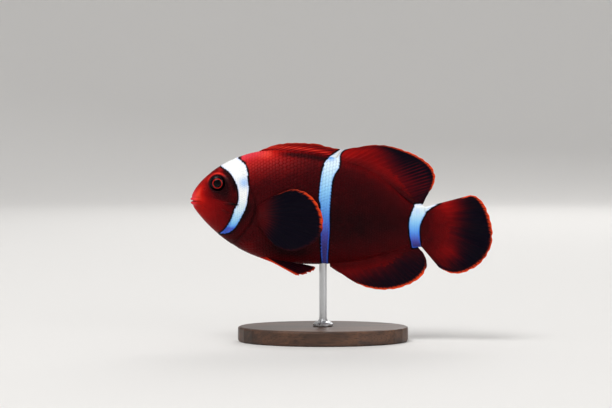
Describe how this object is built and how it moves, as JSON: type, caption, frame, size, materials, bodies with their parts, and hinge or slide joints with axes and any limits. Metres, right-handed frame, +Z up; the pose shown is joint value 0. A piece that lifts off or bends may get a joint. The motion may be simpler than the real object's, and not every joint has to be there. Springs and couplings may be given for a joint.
{
  "type": "maroon clownfish on display stand",
  "caption": "Life-size maroon clownfish in swimming pose, with pale bars across head, body and tail, cheek spines and spread fins, held over a flat oval base by a rod.",
  "frame": {"origin": "centre of the stand's underside, straight below the rod", "axes": "+X from the fish's snout to its tail, +Y from its left side to its right side, +Z up"},
  "size_m": [0.1199, 0.042, 0.0792],
  "materials": {
    "maroon_skin": "wet scaled skin, dark maroon to red, with three pale bars edged in black",
    "fin_membrane": "thin rayed membrane, maroon to blue-black, with an orange-red margin",
    "eye": "glossy cornea over a black pupil, a bright red ring and a dark iris",
    "stand_wood": "dark stained walnut, satin",
    "stand_steel": "satin round bar"
  },
  "bodies": {
    "root": {"head": "maroon_skin", "lower_jaw": "maroon_skin", "gill_cover_left": "maroon_skin", "gill_cover_right": "maroon_skin", "trunk": "maroon_skin", "tail_stalk": "maroon_skin", "eye_left": "eye", "eye_right": "eye", "dorsal_fin_spiny": "fin_membrane", "dorsal_fin_soft": "fin_membrane", "anal_fin": "fin_membrane", "tail_fin": "fin_membrane", "pectoral_fin_left": "fin_membrane", "pectoral_fin_right": "fin_membrane", "pelvic_fin_left": "fin_membrane", "pelvic_fin_right": "fin_membrane", "stand_base": "stand_wood", "stand_rod": "stand_steel"}
  },
  "joints": []
}
